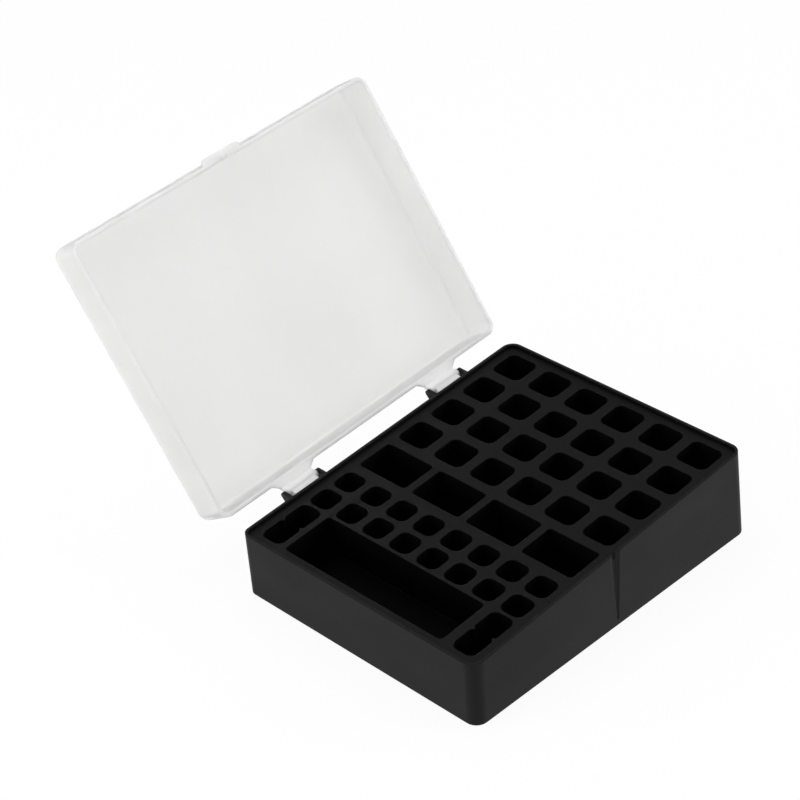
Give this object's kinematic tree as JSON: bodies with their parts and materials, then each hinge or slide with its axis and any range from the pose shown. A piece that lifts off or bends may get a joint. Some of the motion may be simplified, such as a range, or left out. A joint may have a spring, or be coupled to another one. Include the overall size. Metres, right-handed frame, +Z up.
{
  "type": "battery storage case",
  "caption": "Wedge-shaped desk organiser with a pocket for every household cell, a long tester bay and a frosted hinged lid standing open.",
  "frame": {"origin": "middle of the underside, on the table, under the middle of the case", "axes": "+X along the hinge towards the tall end of the wedge, +Y from the latch side towards the hinge side, +Z up"},
  "size_m": [0.1825, 0.2256, 0.1579],
  "materials": {
    "case_plastic": "satin moulded",
    "insert_plastic": "satin moulded",
    "lid_plastic": "frosted translucent",
    "pin_steel": "drawn wire"
  },
  "bodies": {
    "base": {"outer_case": "case_plastic", "cell_insert": "insert_plastic", "hinge_pin_left": "pin_steel", "hinge_pin_right": "pin_steel"},
    "cover": {"lid": "lid_plastic"}
  },
  "joints": [
    {"name": "lid_hinge", "type": "hinge", "parent": "base", "child": "cover", "pos_m": [-0.00307, 0.0698, 0.03727], "axis": [0.9966, 0, 0.0821], "range_deg": [0, 122.7]}
  ]
}
